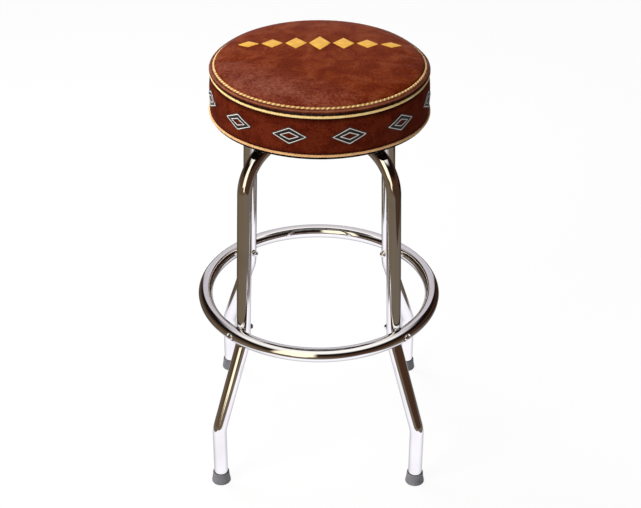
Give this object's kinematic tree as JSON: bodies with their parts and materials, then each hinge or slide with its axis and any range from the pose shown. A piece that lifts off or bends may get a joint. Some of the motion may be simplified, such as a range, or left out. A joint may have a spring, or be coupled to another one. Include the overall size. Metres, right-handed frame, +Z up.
{
  "type": "bar stool",
  "caption": "Backless swivel bar stool: round padded leather-look seat with piped band on a ball bearing, bent chromed tube legs and a foot ring.",
  "frame": {"origin": "centre of the footprint on the floor, on the swivel axis", "axes": "+Z up along the swivel axis, -Y towards the front, +X to the right seen from the front"},
  "size_m": [0.434, 0.434, 0.762],
  "materials": {
    "chrome": "polished",
    "plate_steel": "satin",
    "zinc_steel": "satin",
    "ball_steel": "polished",
    "cage_plastic": "matte",
    "rubber": "matte",
    "plywood": "matte",
    "foam": "matte",
    "dust_cloth": "matte",
    "top_leather": "satin",
    "band_leather": "satin",
    "gold_trim": "satin"
  },
  "bodies": {
    "base": {"leg_front_left": "chrome", "foot_tip_front_left": "rubber", "ring_bolt_front_left": "chrome", "cap_nut_front_left": "chrome", "leg_bolt_inner_front_left": "zinc_steel", "leg_bolt_outer_front_left": "zinc_steel", "leg_front_right": "chrome", "foot_tip_front_right": "rubber", "ring_bolt_front_right": "chrome", "cap_nut_front_right": "chrome", "leg_bolt_inner_front_right": "zinc_steel", "leg_bolt_outer_front_right": "zinc_steel", "leg_back_right": "chrome", "foot_tip_back_right": "rubber", "ring_bolt_back_right": "chrome", "cap_nut_back_right": "chrome", "leg_bolt_inner_back_right": "zinc_steel", "leg_bolt_outer_back_right": "zinc_steel", "leg_back_left": "chrome", "foot_tip_back_left": "rubber", "ring_bolt_back_left": "chrome", "cap_nut_back_left": "chrome", "leg_bolt_inner_back_left": "zinc_steel", "leg_bolt_outer_back_left": "zinc_steel", "foot_ring": "chrome", "swivel_base_plate": "plate_steel", "king_rivet": "zinc_steel"},
    "bearing": {"ball_cage": "cage_plastic", "ball_01": "ball_steel", "ball_02": "ball_steel", "ball_03": "ball_steel", "ball_04": "ball_steel", "ball_05": "ball_steel", "ball_06": "ball_steel", "ball_07": "ball_steel", "ball_08": "ball_steel", "ball_09": "ball_steel", "ball_10": "ball_steel", "ball_11": "ball_steel", "ball_12": "ball_steel"},
    "seat": {"swivel_seat_plate": "plate_steel", "seat_screw_front_left": "zinc_steel", "seat_screw_front_right": "zinc_steel", "seat_screw_back_right": "zinc_steel", "seat_screw_back_left": "zinc_steel", "dust_cover": "dust_cloth", "seat_board": "plywood", "foam_pad": "foam", "top_panel": "top_leather", "shoulder_strip": "top_leather", "side_band": "band_leather", "bottom_hem": "band_leather", "braid_trim": "gold_trim", "upper_piping": "gold_trim", "lower_piping": "gold_trim"}
  },
  "joints": [
    {"name": "seat_swivel", "type": "hinge", "parent": "base", "child": "seat", "pos_m": [0, 0, 0.6568], "axis": [0, 0, 1], "continuous": true},
    {"name": "bearing_turn", "type": "hinge", "parent": "base", "child": "bearing", "pos_m": [0, 0, 0.6568], "axis": [0, 0, 1], "continuous": true}
  ],
  "couplings": [
    {"joint": "bearing_turn", "follows": "seat_swivel", "ratio": 0.5}
  ]
}
